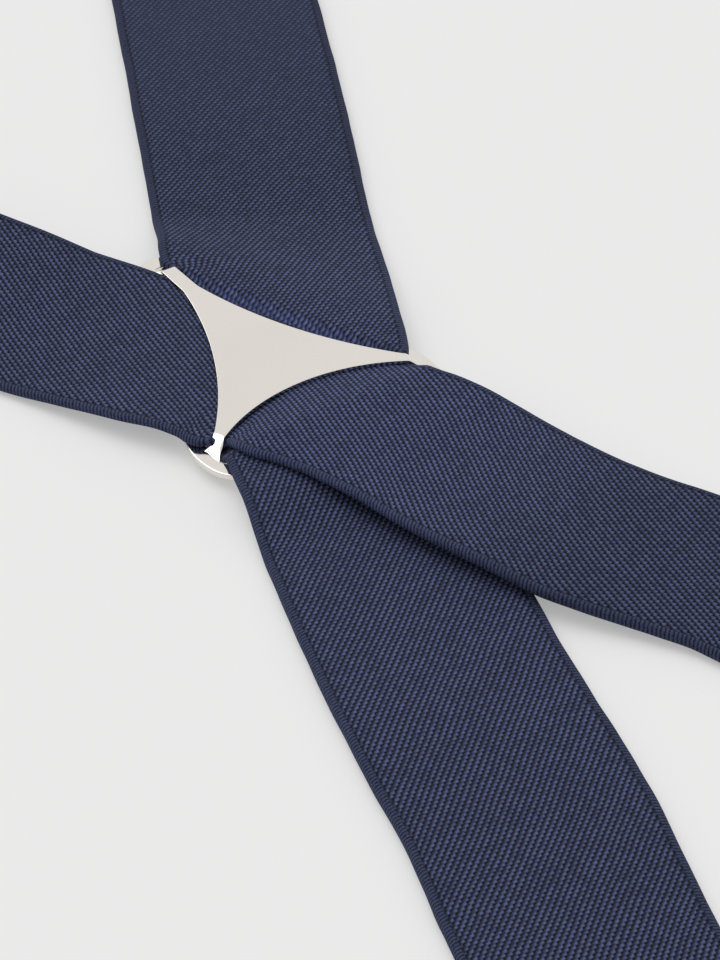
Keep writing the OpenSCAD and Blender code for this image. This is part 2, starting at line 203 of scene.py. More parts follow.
def webbing(name, dark, light, tint):
    """ribbed elastic: diagonal ribs of short loops and a looped selvedge; UV in millimetres."""
    g = G(name)
    uv = g.n("ShaderNodeUVMap", uv_map="weave").outputs[0]
    sp = g.n("ShaderNodeSeparateXYZ"); g.put(sp.inputs[0], uv)
    U0, V0 = sp.outputs[0], sp.outputs[1]
    slow = g.noise(uv, 0.10, 1.0)
    mid = g.noise(uv, 0.55, 2.0)
    fine = g.noise(uv, 2.3, 2.0, 0.6)
    dU = g.add(g.mul(g.sub(slow, 0.5), 0.9), g.mul(g.sub(mid, 0.5), 0.22))
    U = g.add(U0, g.mul(g.sub(mid, 0.5), 0.16))
    V = g.add(V0, dU)
    al = g.add(g.mul(U, -0.985), g.mul(V, 0.672))
    be = g.add(g.mul(U, 0.975), g.mul(V, 0.715))
    cb = g.cos(be)
    ae = g.add(g.add(al, g.mul(cb, 0.085)), g.mul(g.sub(fine, 0.5), 0.16))
    ca = g.cos(ae)
    c2 = g.cos(g.add(g.mul(ae, 2.0), 0.17))
    c3 = g.cos(g.add(g.add(al, be), 0.05))
    main = g.add(g.add(0.40, g.mul(ca, 0.41)), g.add(g.add(g.mul(cb, 0.17), g.mul(c2, 0.09)), g.mul(c3, 0.15)))
    # every loop its own shade
    cell = g.n("ShaderNodeTexWhiteNoise", noise_dimensions="2D")
    g.put(cell.inputs["Vector"], g.xyz(g.f("FLOOR", g.add(al, 0.5)), g.f("FLOOR", g.add(be, 0.5))))
    tiny = g.noise(uv, 4.2, 1.0, 0.6)
    shade = g.add(g.add(g.mul(g.sub(cell.outputs[0], 0.5), 0.42), g.mul(g.sub(fine, 0.5), 0.75)), g.mul(g.sub(tiny, 0.5), 0.45))
    main = g.add(main, g.mul(shade, g.ss(main, 0.05, 0.65)))
    fadea = g.n("ShaderNodeAttribute", attribute_name="calm").outputs["Fac"]
    main = g.add(0.40, g.mul(g.sub(main, 0.40), g.sub(1.0, fadea)))
    # selvedge
    au = g.f("ABSOLUTE", U0)
    loops = g.f("ABSOLUTE", g.f("SINE", g.mul(g.add(g.add(V0, g.mul(g.sub(fine, 0.5), 0.5)), g.mul(au, 0.32)), math.pi / 0.62)))
    loops = g.add(g.add(0.0, g.mul(loops, 0.50)), g.mul(g.sub(tiny, 0.5), 0.45))
    h = g.mixf(g.ss(au, 16.15, 16.40), main, loops)
    # the line where the selvedge meets the body is lowered in height, which also darkens its colour: painted shade in
    # that groove, beside the real bump and the mesh's own groove
    groove = g.sub(1.0, g.mul(g.ss(g.f("ABSOLUTE", g.sub(au, 16.15)), 0.0, 0.34, 1.0, 0.0), 0.60))
    h = g.mul(h, groove)
    h = g.f("MAXIMUM", h, 0.0)
    # the per-vertex attribute read here is painted light and shade: it lightens the strap near the plate and on the
    # face that dips into the slot, and darkens it further along the straps
    lum = g.n("ShaderNodeAttribute", attribute_name="lum").outputs["Fac"]
    tone_and_painted_light = g.add(g.add(0.90, lum), g.mul(g.noise(uv, 0.045, 3.0, 0.6), 0.20))
    # the colour follows the rib height: near-black in the troughs, lighter on the loop tops; partly the yarn's own
    # pattern, partly painted shade in the gaps between loops, beside the real bump
    col = g.mixc(g.f("MINIMUM", h, 1.25), dark, light)
    # painted sheen: where the painted light is raised, the colour is also pushed bluer
    col = g.mixc(g.mul(lum, 1.5), col, g.mixc(1.0, col, (0.92, 1.0, 1.22, 1), "MULTIPLY"))
    hair = g.ss(g.noise(uv, 5.0, 1.0), 0.62, 0.80)
    col = g.mixc(g.mul(hair, 0.22), col, tint)
    # the colour is scaled by the painted light plus a slow random tone
    sc = g.n("ShaderNodeVectorMath", operation="SCALE")
    g.put(sc.inputs[0], col); g.put(sc.inputs["Scale"], tone_and_painted_light)
    g.set(Base_Color=sc.outputs[0], Roughness=g.add(0.80, g.mul(h, 0.10)))
    g.b.inputs["Specular IOR Level"].default_value = 0.12
    g.b.inputs["Sheen Weight"].default_value = 0.06
    g.b.inputs["Sheen Roughness"].default_value = 0.45
    g.b.inputs["Sheen Tint"].default_value = (0.62, 0.68, 0.85, 1)
    g.put(g.b.inputs["Normal"], g.bump(h, 0.00026, 0.75))
    return g.m


def thread_mat():
    g = G("sewing_thread")
    ob = g.n("ShaderNodeTexCoord").outputs["Object"]
    w = g.n("ShaderNodeTexWave", wave_type="BANDS", bands_direction="DIAGONAL")
    g.put(w.inputs["Vector"], ob)
    w.inputs["Scale"].default_value = 900.0
    w.inputs["Distortion"].default_value = 1.2
    col = g.mixc(w.outputs[1], lin(30, 34, 56), lin(96, 102, 134))
    g.set(Base_Color=col, Roughness=g.add(0.5, g.mul(w.outputs[1], 0.15)))
    g.b.inputs["Sheen Weight"].default_value = 0.25
    g.put(g.b.inputs["Normal"], g.bump(w.outputs[1], 0.00006, 0.8))
    return g.m


def metal(name, c0, c1, rough, wear, brushed=0.0, rnd=0.0):
    """polished or plated metal: fine hairlines, faint haze and small handling marks."""
    g = G(name)
    ob = g.n("ShaderNodeTexCoord").outputs["Object"]
    haze = g.noise(ob, 55.0, 3.0, 0.6)
    st = g.n("ShaderNodeMapping")
    g.put(st.inputs["Vector"], ob)
    st.inputs["Scale"].default_value = (1.0, 14.0, 1.0)
    st.inputs["Rotation"].default_value = (0, 0, 0.5)
    hair = g.noise(st.outputs[0], 900.0, 2.0, 0.55)
    pit = g.ss(g.noise(ob, 1500.0, 2.0), 0.66, 0.80)
    col = g.mixc(haze, c0, c1)
    g.set(Base_Color=col, Metallic=1.0)
    r = g.add(rough, g.mul(g.sub(haze, 0.5), rough * 0.55))
    r = g.add(r, g.mul(g.ss(hair, 0.45, 0.75), 0.04 + brushed * 0.25))
    g.set(Roughness=g.add(r, g.mul(pit, 0.10)))
    base = None
    if rnd:
        bv = g.n("ShaderNodeBevel", samples=4)
        bv.inputs["Radius"].default_value = rnd
        base = bv.outputs[0]
    h = g.add(g.mul(hair, 0.5 + brushed), g.mul(g.noise(ob, 240.0, 2.0), wear))
    g.put(g.b.inputs["Normal"], g.bump(h, 0.000012, 0.30 + brushed, base))
    return g.m


def plastic(name):
    g = G(name)
    ob = g.n("ShaderNodeTexCoord").outputs["Object"]
    a = g.noise(ob, 320.0, 3.0, 0.6)
    grime = g.ss(g.noise(ob, 130.0, 4.0, 0.65), 0.50, 0.75)
    col = g.mixc(a, lin(226, 222, 212), lin(240, 238, 231))
    col = g.mixc(g.mul(grime, 0.30), col, lin(196, 188, 172))
    g.set(Base_Color=col, Roughness=g.add(0.42, g.mul(a, 0.16)))
    bv = g.n("ShaderNodeBevel", samples=4)
    bv.inputs["Radius"].default_value = 0.00025
    g.put(g.b.inputs["Normal"], g.bump(a, 0.00004, 0.5, bv.outputs[0]))
    return g.m


# the first colour, near-black, is the trough colour: partly painted shade between the loops
WEB_R = webbing("elastic_navy", lin(0, 1, 8), lin(85, 94, 133), lin(98, 107, 146))
WEB_L = webbing("elastic_navy_b", lin(0, 1, 8), lin(85, 94, 133), lin(98, 107, 146))
THREAD = thread_mat()
POLISH = metal("polished_plate_metal", lin(231, 226, 219), lin(236, 232, 226), 0.10, 0.35)
STEEL = metal("plated_steel_metal", lin(184, 181, 175), lin(206, 203, 197), 0.29, 0.8, 0.35, 0.00022)
PLAST = plastic("jaw_plastic_white")


# -------------------------------------------------------------- strap meshes
W2, RE, KA = 17.5, 0.80, 6
_e = [-16.7, -16.5, -16.3, -16.05, -15.7, -15.2]
UU = np.array(_e + list(np.linspace(-14.4, 14.4, 31)) + [-v for v in reversed(_e)])
NW = len(UU)


def sheet_mesh(name, B, N, V, thick, mat, attrs=None):
    """closed strip. B [stations, NW, 3] are the underside points in mm, N its unit normals, V the lengths in mm."""
    ns = B.shape[0]
    groove = 0.10 * np.exp(-((np.abs(UU) - 16.1) / 0.22) ** 2)
    th = (np.asarray(thick, float).reshape(-1, 1) if np.ndim(thick) else np.full((ns, 1), float(thick)))
    T = B + N * (th - groove[None])[:, :, None]
    exr = B[:, -1] - B[:, -2]; exr /= np.linalg.norm(exr, axis=1)[:, None]
    exl = B[:, 0] - B[:, 1]; exl /= np.linalg.norm(exl, axis=1)[:, None]
    cr, cl = (B[:, -1] + T[:, -1]) / 2, (B[:, 0] + T[:, 0]) / 2
    hr, hl = (T[:, -1] - B[:, -1]) / 2, (T[:, 0] - B[:, 0]) / 2
    rings, us = [T], list(UU)
    ang = np.linspace(0, np.pi, KA + 1)[1:-1]
    bead = 1.06
    for a in ang:
        rings.append((cr + exr * RE * math.sin(a) + hr * math.cos(a) * bead)[:, None]); us.append(16.7 + RE * min(a, np.pi - a))
    rings.append(B[:, ::-1]); us += list(UU[::-1])
    for a in ang[::-1]:
        rings.append((cl + exl * RE * math.sin(a) + hl * math.cos(a) * bead)[:, None]); us.append(-16.7 - RE * min(a, np.pi - a))
    L = np.concatenate(rings, axis=1)
    M = L.shape[1]
    us = np.array(us)
    verts = (L.reshape(-1, 3) * 0.001)
    faces, fuv = [], []
    for i in range(ns - 1):
        a, b = i * M, (i + 1) * M
        va, vb = V[i], V[i + 1]
        for m in range(M):
            k = (m + 1) % M
            faces.append((a + m, b + m, b + k, a + k))
            fuv += [(us[m], va), (us[m], vb), (us[k], vb), (us[k], va)]
    def cap(i, flip):
        o = i * M
        r0 = o + NW; rb = o + NW + KA - 1; lb = rb + NW
        for j in range(NW - 1):
            q = [o + j, o + j + 1, rb + (NW - 2 - j), rb + (NW - 1 - j)]
            faces.append(tuple(q if not flip else q[::-1]))
            w = [(UU[j], V[i]), (UU[j + 1], V[i]), (UU[j + 1], V[i] + 1.2), (UU[j], V[i] + 1.2)]
            fuv.extend(w if not flip else w[::-1])
        q = [o + NW - 1] + list(range(r0, rb + 1))
        faces.append(tuple(q if not flip else q[::-1])); fuv.extend([(17.0, V[i])] * len(q))
        q = [o + 0, rb + NW - 1] + list(range(lb, lb + KA - 1))
        q = q if not flip else q[::-1]
        faces.append(tuple(q)); fuv.extend([(-17.0, V[i])] * len(q))
    cap(0, False)
    cap(ns - 1, True)
    ob = new_obj(name, verts, faces, True)
    lay = ob.data.uv_layers.new(name="weave")
    lay.data.foreach_set("uv", np.array(fuv, np.float32).ravel())
    bm = bmesh.new(); bm.from_mesh(ob.data)
    bmesh.ops.recalc_face_normals(bm, faces=bm.faces[:])
    bm.to_mesh(ob.data); bm.free()
    ob.data.set_sharp_from_angle(angle=math.radians(60))
    for k, A in (attrs or {}).items():
        full = np.concatenate([A] + [A[:, -1:]] * (KA - 1) + [A[:, ::-1]] + [A[:, :1]] * (KA - 1), axis=1)
        ob.data.attributes.new(k, "FLOAT", "POINT").data.foreach_set("value", full.astype(np.float32).ravel())
    ob.data.materials.append(mat)
    return ob


# plate reference lines
V1 = np.array([0.0, 28.8]); V2 = np.array([17.9, -14.4])
CU = (V2 - V1) / np.linalg.norm(V2 - V1)
CN = np.array([-CU[1], CU[0]]); CC = CN @ V1
ARC_T0, ARC_T1 = 178.73, 365.83
T_BACK, BACK_L = 28.03, 215.0


def centre_path(side):
    """centre line of a whole strap, t in mm: back clip at -243, plate at 0, shoulders upwards."""
    ts = np.arange(-262.0, 800.0, 0.25)
    th = np.where(ts < 0, 72.9, 63.2) + 0.0
    k = sstep(ts, -14, 14)
    th = 72.9 + (63.2 - 72.9) * k
    th = th + np.degrees(np.clip(ts - ARC_T0, 0, ARC_T1 - ARC_T0) / 400.0)
    th = np.radians(th)
    dx, dy = np.cos(th) * 0.25, np.sin(th) * 0.25
    X = np.concatenate([[0], np.cumsum((dx[1:] + dx[:-1]) / 2)])
    Y = np.concatenate([[0], np.cumsum((dy[1:] + dy[:-1]) / 2)])
    # pin the line to the shoulder run
    i = np.searchsorted(ts, 60.0)
    p = np.array([1.04, -9.21]) + 60.0 * np.array([math.cos(math.radians(63.2)), math.sin(math.radians(63.2))])
    X += p[0] - X[i]; Y += p[1] - Y[i]
    hx, hy = np.cos(th), np.sin(th)
    if side == "left":
        X, hx = -X, -hx
    return ts, X, Y, hx, hy


def plan(side, t):
    ts, X, Y, hx, hy = PATH[side]
    c = np.stack([np.interp(t, ts, X), np.interp(t, ts, Y)], -1)
    h = np.stack([np.interp(t, ts, hx), np.interp(t, ts, hy)], -1)
    h /= np.linalg.norm(h, axis=-1, keepdims=True)
    return c, h, np.stack([h[..., 1], -h[..., 0]], -1)


PATH = {s: centre_path(s) for s in ("right", "left")}

# edges of the visible runs, offsets from the centre line (mm) at t
EDGE = {
    "right": dict(
        L=[(-262, -17.5), (-150, -17.4), (-117.4, -17.36), (-108, -16.99), (-99.3, -16.92), (-91.9, -17.31), (-84.1, -17.67), (-75.4, -17.76),
           (-66.6, -17.88), (-56.9, -17.79), (-46.1, -17.45), (-34.7, -17.05), (-26, -16.7), (-18, -16.5), (-12, -16.1), (-6, -15.6), (6, -15.6), (29.5, -15.6),
           (31.3, -15.9), (32.4, -17.0), (33.4, -17.9), (37.4, -17.8), (41, -17.6), (60, -17.45), (100, -17.4), (130, -17.5), (178, -17.5), (800, -17.5)],
        R=[(-262, 17.5), (-150, 17.6), (-121, 17.8), (-112.2, 18.3), (-103.6, 18.73), (-96.1, 18.68), (-89.1, 18.39), (-82.2, 18.01),
           (-74.6, 17.82), (-67.3, 17.5), (-58.9, 17.5), (-40, 17.4), (-22, 16.6), (-12, 15.6), (-2, 15.1), (0.4, 15.2), (1.2, 15.7), (2.2, 16.5), (3.6, 17.1), (5.2, 17.4), (7.5, 17.55), (14, 17.6),
           (22, 17.62), (32, 17.55), (42, 17.3), (50, 17.35), (60, 17.6), (85, 17.9), (120, 17.7), (178, 17.5), (800, 17.5)]),
    "left": dict(
        L=[(-262, -17.5), (-150, -17.0), (-115, -14.5), (-100, -12.2), (-91, -11.1), (-82.5, -11.2), (-76.5, -12.5), (-70.7, -14.2), (-65, -16.0), (-57.8, -17.6),
           (-46.9, -17.9), (-40.7, -18.0), (-33.1, -17.6), (-24.9, -16.7), (-17.4, -16.6), (-10.4, -17.4), (-6.2, -18.3), (-3.5, -18.0), (-1.5, -16.8), (0.3, -16.4),
           (1.6, -17.1), (2.8, -18.6), (4.2, -19.6), (6.0, -19.7), (8.7, -19.1), (12, -19.1), (18.6, -19.5), (25, -19.3), (40, -19.0), (60, -18.6), (120, -17.5), (800, -17.5)],
        R=[(-262, 17.5), (-150, 18.2), (-115, 20.8), (-95, 22.6), (-80, 21.9), (-70, 20.3), (-62.5, 18.8), (-59.4, 18.0), (-56.4, 17.3), (-53.1, 16.7), (-49.9, 16.2),
           (-46.4, 16.0), (-42.6, 16.1), (-38.7, 16.4), (-34.8, 16.7), (-30.8, 17.0), (-27, 17.1), (-22.6, 16.9), (-19.4, 16.6), (-16.5, 16.0), (-10, 15.4),
           (0, 15.4), (28, 15.4), (33, 15.7), (45, 15.8), (60, 15.9), (80, 16.6), (120, 17.5), (800, 17.5)]),
}


def circle(a, b, sag):
    a, b = np.array(a, float), np.array(b, float)
    c = np.linalg.norm(b - a) / 2
    R = (c * c + sag * sag) / (2 * sag)
    u = (b - a) / (2 * c)
    return (a + b) / 2 + (R - sag) * np.array([-u[1], u[0]]), R


SIDE_BITE = ((0.0, 30.2), (18.6, -14.7), 4.2)
BASE_BITE = ((18.6, -16.4), (-18.6, -16.4), 6.1)


def gap(P, kind):
    """distance outwards from the raised centre's edge: 1 right, -1 left, 0 third."""
    ctr, R = circle(*(SIDE_BITE if kind else BASE_BITE))
    if kind == -1:
        ctr = np.array([-ctr[0], ctr[1]])
    return R - np.sqrt((P[..., 0] - ctr[0]) ** 2 + (P[..., 1] - ctr[1]) ** 2)


CREST = [(0, 0.0), (0.3, 0.30), (0.6, 0.61), (0.88, 0.90), (1.0, 0.985), (1.08, 1.0)]


def climb(g, rest):
    """0 at the centre's edge, 1 once over the bar; rest is the distance left to the bar."""
    q = np.where(rest > 0, np.clip(g, 0, None) / np.clip(np.clip(g, 0, None) + rest, 0.05, None), 1 - rest / 4)
    return pchip(q, CREST)


def under(side, t, w, P):
    """height of a strap's underside in mm; w is 0 at its left edge and 1 at its right, seen towards the shoulder."""
    x, y = P[..., 0], P[..., 1]
    back_end = sstep(-t, T_BACK + BACK_L - 58, T_BACK + BACK_L - 44) * 1.6 + sstep(-t, T_BACK + BACK_L - 22, T_BACK + BACK_L - 9) * 2.8
    front_end = sstep(t, ARC_T1 + 148, ARC_T1 + 184) * 4.4
    c3 = climb(gap(P, 0), y + 19.1)
    if side == "right":
        d = CN[0] * x + CN[1] * y - CC
        lam = 8.5 + 21 * w
        over = 2.48 * (1 - sstep(d, 4.0, 4.0 + lam)) * climb(gap(P, 1), 0.3 - d)
        bk = 2.48 * c3 * (1 - sstep(-y, 25.3, 41.0))
        z = np.where(t > 0, over, bk)
    else:
        d = -CN[0] * x + CN[1] * y - CC
        zl = pchip(t, [(0, 2.5), (8, 2.8), (12, 2.9), (20, 2.3), (30, 1.1), (40, 0.1), (60, 0.0), (200, 0)])
        zr = pchip(t, [(0, 2.5), (43, 2.55), (46, 2.8), (50, 3.2), (54, 3.6), (58, 3.95), (62, 4.2), (68, 4.3), (78, 3.6), (98, 1.2), (116, 0), (200, 0)])
        e2 = zl * (1 - w) + zr * w
        lo = 1.42 + 0.56 * sstep(gap(P, -1), -5, 0)
        over = lo + (2.5 + (e2 - 2.5) * sstep(d, 1.0, 8.0) - lo) * climb(gap(P, -1), 0.3 - d)
        yl = pchip(-t, [(0, 3.85), (10, 3.85), (30, 3.7), (47, 3.5), (60, 2.6), (72, 1.3), (84, 0.4), (96, 0), (200, 0)])
        yr = pchip(-t, [(0, 3.6), (14, 3.5), (23, 3.1), (30, 2.4), (38, 1.9), (46, 1.7), (54, 1.2), (62, 0.6), (74, 0), (200, 0)])
        e3 = yl * (1 - w) + yr * w
        lo = 1.42 + 0.56 * sstep(gap(P, 0), -5, 0)
        bk = lo + (e3 - lo) * c3
        z = np.where(t > 0, over, bk)
    return z + back_end + front_end


def thick_at(side, t, P):
    """the elastic is pulled thinner in the plate."""
    return 1.25 + 0.37 * np.clip(sstep(t, 20, 55) + sstep(-t, 20, 45), 0, 1)


def strap_piece(name, side, stations, mat):
    t = np.asarray(stations, float)
    T = np.repeat(t[:, None], NW, 1)
    w = (UU[None] + W2) / (2 * W2)
    oL = pchip(t, EDGE[side]["L"]) + wob(t, 11 if side == "right" else 17, 0.07, 16)
    oR = pchip(t, EDGE[side]["R"]) + wob(t, 23 if side == "right" else 29, 0.07, 16)
    def soft(tab):
        k = np.linspace(-14, 14, 29)
        g = np.exp(-(k / 6.5) ** 2)
        return sum(gi * pchip(t + ki, tab) for gi, ki in zip(g, k)) / g.sum()
    sL, sR = soft(EDGE[side]["L"]), soft(EDGE[side]["R"])
    off = sL[:, None] + (sR - sL)[:, None] * w + (oL - sL)[:, None] * (1 - w) ** 6 + (oR - sR)[:, None] * w ** 6
    c, h, n = plan(side, T)
    P = c + n * off[..., None]
    Z = under(side, T, np.repeat(w, len(t), 0), P)
    B = np.concatenate([P, Z[..., None]], -1)
    # normals from the surface itself
    dt = np.gradient(B, t, axis=0)
    du = np.gradient(B, UU, axis=1)
    N = np.cross(du, dt)
    N /= np.linalg.norm(N, axis=2)[..., None]
    th = thick_at(side, t, P)
    calm = np.zeros(P.shape[:2]); lum = np.zeros(P.shape[:2])
    if side == "right":
        calm += 0.10 + 0.48 * sstep(T, 40, 130)
        g1, d1 = gap(P, 1), CN[0] * P[..., 0] + CN[1] * P[..., 1] - CC
        dip = sstep(g1, -0.3, 0.6) * (1 - sstep(d1, -0.4, 0.5)) * (T > 0)
        # painted light: the face that dips into the slot is painted lighter; the strap is painted darker from about 22
        # mm out along the shoulder run and far out along the back run
        lum += 0.40 * dip - 0.22 * sstep(T, 22, 60) - 0.09 * (1 - sstep(T, -95, -60))
        calm += 0.30 * dip
    else:
        # painted light: the back run is painted lighter near the plate and darker further away
        lum += 0.10 * sstep(T, -60, -25) * (T < 3) - 0.11 * (1 - sstep(T, -62, -40))
    return sheet_mesh(name, B, N, t, th, mat, {"calm": calm, "lum": lum})


def stations(a, b):
    """close together near the plate and the fold, wide apart on the long straight runs."""
    out = [a]
    while out[-1] < b:
        x = out[-1]
        step = 0.5 if -20 < x < 42 else 0.9 if -105 < x < 75 else 2.2 if abs(x) < 120 else 5.0
        if ARC_T1 + 140 < x < ARC_T1 + 190:
            step = 2.0
        if x < -(T_BACK + BACK_L - 64):
            step = 1.0
        out.append(x + step)
    out[-1] = b
    if out[-1] - out[-2] < 0.2:
        out.pop(-2)
    return np.array(out)


def path_piece(name, origin, fwd, path, v0, mat, t=1.5):
    """strip that follows a path [(distance, height), ...] of its middle surface in the vertical plane along fwd."""
    p = np.array(path, float)
    d = np.gradient(p, axis=0)
    d /= np.linalg.norm(d, axis=1)[:, None]
    nn = np.stack([-d[:, 1], d[:, 0]], 1)
    seg = np.concatenate([[0], np.cumsum(np.linalg.norm(np.diff(p, axis=0), axis=1))])
    f = np.array([fwd[0], fwd[1], 0.0]); r = np.array([fwd[1], -fwd[0], 0.0]); z = np.array([0, 0, 1.0])
    o = np.array([origin[0], origin[1], 0.0])
    mid = o + p[:, :1] * f + p[:, 1:] * z
    N3 = nn[:, :1] * f + nn[:, 1:] * z
    B = mid[:, None] - N3[:, None] * (t / 2) + UU[None, :, None] * r
    N = np.repeat(N3[:, None], NW, 1)
    return sheet_mesh(name, B, N, v0 + seg, t, mat)


def arc(cx, cz, r, a0, a1, n=18):
    return [(cx + r * math.cos(math.radians(a)), cz + r * math.sin(math.radians(a))) for a in np.linspace(a0, a1, n)]


def line(a, b, step):
    n = max(2, int(math.hypot(b[0] - a[0], b[1] - a[1]) / step) + 1)
    return [tuple(np.array(a) + (np.array(b) - np.array(a)) * k) for k in np.linspace(0, 1, n)]


PA1 = np.array([124.606, 330.665])
PK = np.array([-7.204, -36.0])
UB = np.array([-math.cos(math.radians(72.9)), -math.sin(math.radians(72.9))])
T_END = ARC_T1 + 391.7
T_BEND = -(T_BACK + BACK_L - 8.3)
CUT = {"right": 1.0, "left": 1.0}
pieces = []

for side, mat in (("right", WEB_R), ("left", WEB_L)):
    m = 1 if side == "right" else -1
    other = "left" if side == "right" else "right"   # this strap ends in the other back clip
    cut = CUT[side]
    a = strap_piece(f"{side}_shoulder_webbing", side, stations(cut, ARC_T1 + 90.15), mat)
    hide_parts(f"{side}_shoulder_strap", f"{side}_strap_middle")
    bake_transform(a)
    b = strap_piece(f"{side}_front_webbing", side, np.concatenate([np.linspace(ARC_T1 + 90.15, ARC_T1 + 146, 16), stations(ARC_T1 + 148, T_END)]), mat)
    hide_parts(f"{side}_front_strap")
    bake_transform(b)
    o = (m * PA1[0], PA1[1])
    # turn round the clip bar
    loop = line((391.7, 5.15), (399.6, 5.15), 1.2) + arc(400, 2.95, 2.2, 88, -88) + line((399.6, 0.75), (391.7, 0.75), 1.2)
    c = path_piece(f"{side}_front_loop_webbing", o, (0, 1), loop, T_END, mat)
    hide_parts(f"{side}_front_clip_loop"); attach(c, f"{side}_front_end")
    tail = line((391.7, 0.75), (229.3, 0.75), 3.0)
    c = path_piece(f"{side}_front_tail_webbing", o, (0, 1), tail, T_END + 23.2, mat)
    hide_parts(f"{side}_front_tail")
    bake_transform(c)
    hem = (line((229.3, 0.75), (211.4, 0.75), 1.5) + arc(211, 2.15, 1.4, 265, 95) + [(211.6, 3.54), (212.6, 3.45), (213.8, 3.2), (215.2, 2.85), (216.6, 2.52), (218, 2.38)]
           + line((219.2, 2.35), (228, 2.35), 1.2))
    c = path_piece(f"{side}_tail_hem_webbing", o, (0, 1), hem, T_END + 185.6, mat)
    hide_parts(f"{side}_tail_hem"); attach(c, f"{side}_adjuster")
    # back run and its turn round the back clip's bar
    d = strap_piece(f"{other}_back_webbing", side, stations(T_BEND, cut), mat)
    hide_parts(f"{other}_back_strap")
    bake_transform(d)
    ok = (PK[0] if other == "left" else -PK[0], PK[1])
    fb = (UB[0] if other == "left" else -UB[0], UB[1])
    L = BACK_L
    loop = line((L - 8.3, 5.15), (L - 0.4, 5.15), 1.2) + arc(L, 2.95, 2.2, 88, -88) + line((L - 0.4, 0.75), (L - 42, 0.75), 2.0)
    e = path_piece(f"{other}_back_loop_webbing", ok, fb, loop, 0.0, mat)
    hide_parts(f"{other}_back_loop"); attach(e, "back_pair")


# ------------------------------------------------------------------ stitches
def stitch_rows(name, node, origin, fwd, rows, z, body, n=14, w=31.0):
    """rows of lockstitch: each stitch is a short bowed thread that dips into the cloth at both ends."""
    verts, faces = [], []
    f = np.array([fwd[0], fwd[1], 0.0]); r = np.array([fwd[1], -fwd[0], 0.0]); up = np.array([0, 0, 1.0])
    rs = np.random.RandomState(5)
    for v in rows:
        for i in range(n):
            x0 = -w / 2 + (i + 0.10) * w / n; x1 = x0 + 0.80 * w / n
            jv, ja = rs.uniform(-0.06, 0.06), rs.uniform(-0.05, 0.05)
            base = len(verts)
            ks = np.linspace(0, 1, 11)
            for k in ks:
                c = (np.array([origin[0], origin[1], 0]) + f * (v + jv + ja * (k - 0.5)) + r * (x0 + (x1 - x0) * k)
                     + up * (z + 0.10 - 0.42 * (2 * k - 1) ** 4))
                rad = 0.23 * (1 - 0.35 * abs(2 * k - 1) ** 6)
                for q in range(8):
                    a = 2 * math.pi * q / 8 + k * 3.0
                    verts.append((c + f * rad * math.cos(a) + up * rad * math.sin(a)) * 0.001)
            for j in range(10):
                for q in range(8):
                    a, b = base + j * 8 + q, base + j * 8 + (q + 1) % 8
                    faces.append((a, b, b + 8, a + 8))
            faces.append(tuple(base + q for q in range(7, -1, -1)))
            faces.append(tuple(base + 80 + q for q in range(8)))
    ob = new_obj(name, verts, faces, True)
    ob.data.materials.append(THREAD)
    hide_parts(node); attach(ob, body)
    return ob


for side in ("right", "left"):
    m = 1 if side == "right" else -1
    z = (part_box(f"{side}_tail_stitches")[0][2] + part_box(f"{side}_tail_stitches")[1][2]) * 500
    stitch_rows(f"{side}_tail_threads", f"{side}_tail_stitches", (m * PA1[0], PA1[1]), (0, 1), (219.6, 225.6), z - 0.12, f"{side}_adjuster")
    z = (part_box(f"{side}_back_stitches")[0][2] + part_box(f"{side}_back_stitches")[1][2]) * 500
    ok = (PK[0] if side == "left" else -PK[0], PK[1]); fb = (UB[0] if side == "left" else -UB[0], UB[1])
    stitch_rows(f"{side}_back_threads", f"{side}_back_stitches", ok, fb, (BACK_L - 38, BACK_L - 26), z, "back_pair")


# --------------------------------------------------------------------- plate
def isect(n1, c1, n2, c2):
    return np.linalg.solve(np.array([n1, n2], float), np.array([c1, c2], float))


def rtri(o, base, ra, rb, na=28, nl=14):
    """outline of the rounded triangle, counterclockwise from the right lower corner; same count for any size."""
    nl_, nb = np.array([-CN[0], CN[1]]), np.array([0.0, -1.0])
    ca = isect(CN, CC + o - ra, nl_, CC + o - ra)
    cr = isect(CN, CC + o - rb, nb, -(base + rb))
    cl = np.array([-cr[0], cr[1]])
    an = math.degrees(math.atan2(CN[1], CN[0]))
    pts = []
    def arcp(c, r, a0, a1):
        return [c + r * np.array([math.cos(math.radians(a)), math.sin(math.radians(a))]) for a in np.linspace(a0, a1, na)]
    A = arcp(cr, rb, -90, an); B_ = arcp(ca, ra, an, 180 - an); C_ = arcp(cl, rb, 180 - an, 270)
    for X, Y in ((A, B_), (B_, C_), (C_, A)):
        pts += X
        for k in np.linspace(0, 1, nl + 2)[1:-1]:
            pts.append(X[-1] + (Y[0] - X[-1]) * k)
    return np.array(pts)


